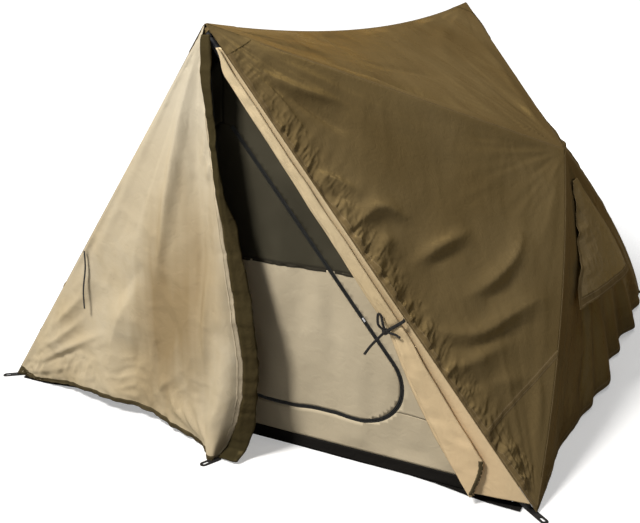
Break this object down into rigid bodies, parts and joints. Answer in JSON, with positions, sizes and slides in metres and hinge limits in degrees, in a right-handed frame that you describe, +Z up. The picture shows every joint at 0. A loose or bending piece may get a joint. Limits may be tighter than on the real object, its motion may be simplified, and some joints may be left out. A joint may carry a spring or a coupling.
{
  "type": "two-person ridge tent",
  "caption": "Ridge tent with a coated fly sheet on two A-shaped pole frames, one front door hanging closed, one folded back, and a mesh-windowed inner tent.",
  "frame": {"origin": "on the ground in the middle of the fly sheet's four corners", "axes": "+Z up, +Y from the door to the back, +X to the right for someone facing the back from the door"},
  "size_m": [2.1006, 2.4568, 1.3534],
  "materials": {
    "fly_cloth": "coated, slightly glossy",
    "fly_trim": "coated",
    "door_cloth": "coated, slightly glossy",
    "inner_cloth": "woven, matt",
    "mesh_cloth": "fine insect mesh",
    "webbing": "woven webbing",
    "zip_tape": "zip tape",
    "floor_cloth": "coated",
    "pole_tube": "satin",
    "fitting": "moulded",
    "foot_rubber": "moulded",
    "slider_metal": "satin"
  },
  "bodies": {
    "shelter": {"corner_tab_front_left": "webbing", "corner_tab_front_right": "webbing", "corner_tab_rear_left": "webbing", "corner_tab_rear_right": "webbing", "floor_tub": "floor_cloth", "fly_end_left": "fly_cloth", "fly_end_right": "fly_cloth", "fly_rear_wall": "fly_cloth", "fly_roof_left": "fly_cloth", "fly_roof_right": "fly_cloth", "fly_side_front_left": "fly_cloth", "fly_side_front_right": "fly_cloth", "fly_side_rear_left": "fly_cloth", "fly_side_rear_right": "fly_cloth", "inner_front_band_left": "inner_cloth", "inner_front_band_right": "inner_cloth", "inner_front_sill": "inner_cloth", "inner_mesh_left": "mesh_cloth", "inner_mesh_right": "mesh_cloth", "inner_rear_mesh": "mesh_cloth", "inner_rear_wall": "inner_cloth", "inner_wall_left": "inner_cloth", "inner_wall_right": "inner_cloth", "inner_zip_tape_wall": "zip_tape", "peak_cap_front": "fly_trim", "peak_cap_rear": "fly_trim", "peak_hanger_front": "webbing", "peak_hanger_rear": "webbing", "peak_hub_front": "fitting", "peak_hub_rear": "fitting", "pole_foot_front_left": "foot_rubber", "pole_foot_front_right": "foot_rubber", "pole_foot_rear_left": "foot_rubber", "pole_foot_rear_right": "foot_rubber", "pole_lower_front_left": "pole_tube", "pole_lower_front_right": "pole_tube", "pole_lower_rear_left": "pole_tube", "pole_lower_rear_right": "pole_tube", "pole_upper_front_left": "pole_tube", "pole_upper_front_right": "pole_tube", "pole_upper_rear_left": "pole_tube", "pole_upper_rear_right": "pole_tube", "shoulder_strut_left": "pole_tube", "shoulder_strut_right": "pole_tube", "strut_foot_left": "foot_rubber", "strut_foot_right": "foot_rubber"},
    "left_door": {"front_door_left": "door_cloth", "door_storm_strip": "fly_trim", "door_zip_tape": "zip_tape", "door_peg_tab": "webbing", "loose_tie": "webbing"},
    "door_slider": {"door_zip_slider": "slider_metal"},
    "right_door": {"front_door_right": "door_cloth", "door_tie": "webbing"},
    "inner_door": {"inner_door_panel": "inner_cloth", "inner_door_window": "mesh_cloth", "inner_zip_tape_door": "zip_tape"},
    "inner_slider": {"inner_zip_slider": "slider_metal"},
    "vent_right": {"vent_hood_right": "fly_cloth"},
    "vent_left": {"vent_hood_left": "fly_cloth"}
  },
  "joints": [
    {"name": "left_door_hinge", "type": "hinge", "parent": "shelter", "child": "left_door", "pos_m": [-1.01, -1.05, 0.004], "axis": [-0.5985, 0.0741, -0.7977], "range_deg": [0, 110]},
    {"name": "door_zip", "type": "slide", "parent": "left_door", "child": "door_slider", "axis": [-0.0593, 0.0037, 0.9982], "range_m": [-0.045, 1.05]},
    {"name": "right_door_hinge", "type": "hinge", "parent": "shelter", "child": "right_door", "pos_m": [1.01, -1.05, 0.004], "axis": [-0.5985, -0.0741, 0.7977], "range_deg": [0, 60]},
    {"name": "inner_door_hinge", "type": "hinge", "parent": "shelter", "child": "inner_door", "pos_m": [-0.56807, -1.04899, 0.3444], "axis": [0.6086, -0.0523, 0.7918], "range_deg": [0, 90]},
    {"name": "inner_zip", "type": "slide", "parent": "shelter", "child": "inner_slider", "axis": [-0.6086, -0.0523, 0.7918], "range_m": [-0.15, 0.685]},
    {"name": "vent_right_hinge", "type": "hinge", "parent": "shelter", "child": "vent_right", "pos_m": [0.81745, 0, 0.7603], "axis": [0, -1, 0], "range_deg": [0, 25]},
    {"name": "vent_left_hinge", "type": "hinge", "parent": "shelter", "child": "vent_left", "pos_m": [-0.81745, 0, 0.7603], "axis": [0, 1, 0], "range_deg": [0, 25]}
  ]
}
